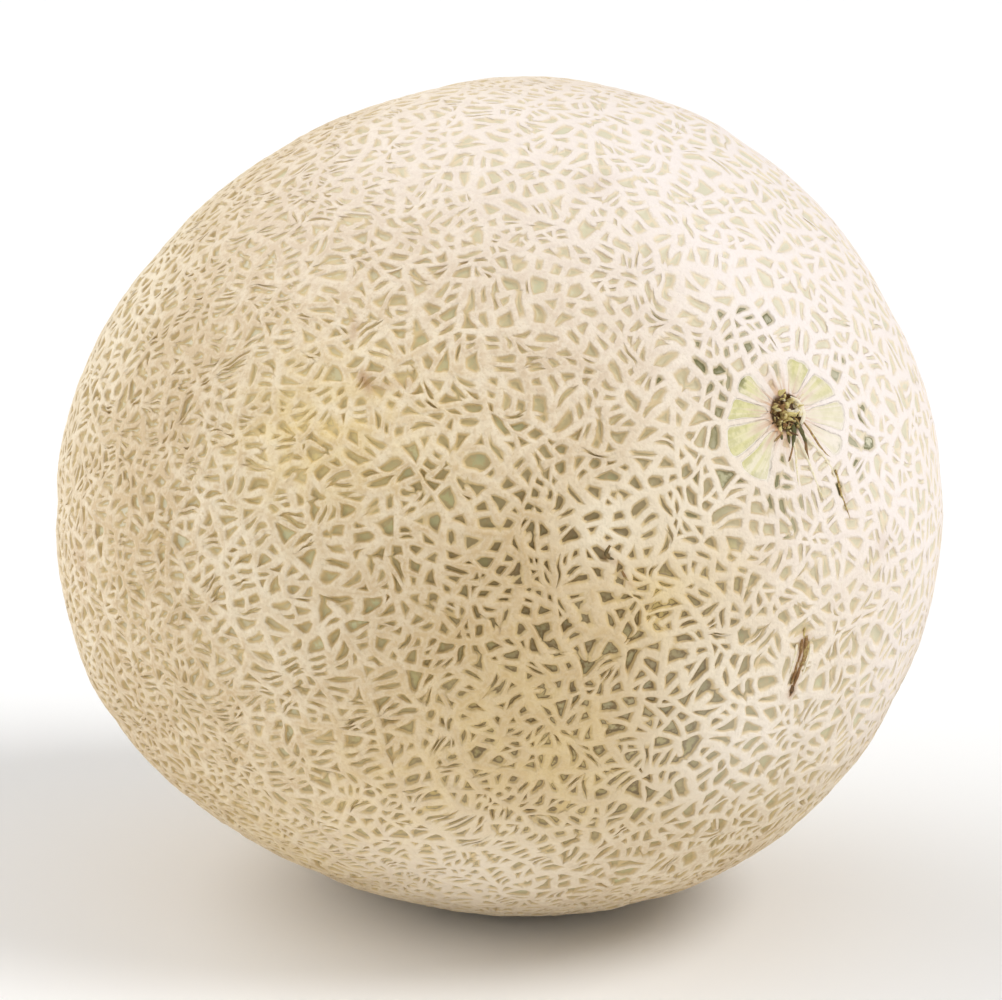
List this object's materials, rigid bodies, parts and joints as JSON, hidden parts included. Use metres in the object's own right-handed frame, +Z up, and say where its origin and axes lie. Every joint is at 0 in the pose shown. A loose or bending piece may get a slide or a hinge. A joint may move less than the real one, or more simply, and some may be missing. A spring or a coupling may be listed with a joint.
{
  "type": "cantaloupe melon",
  "caption": "Whole netted cantaloupe melon lying on its flat ground spot, with a round stem scar, a blossom scar and a raised corky net all over.",
  "frame": {"origin": "on the surface that the melon lies on, at its flat ground spot, straight below the middle of the melon", "axes": "+X level, over the stem end; -X the blossom end; +Z up; the stem end is tipped up from level"},
  "size_m": [0.165, 0.1454, 0.144],
  "materials": {
    "rind": "matt corky net in pale cream over a grey-green to tan skin"
  },
  "bodies": {
    "root": {"melon": "rind"}
  },
  "joints": []
}
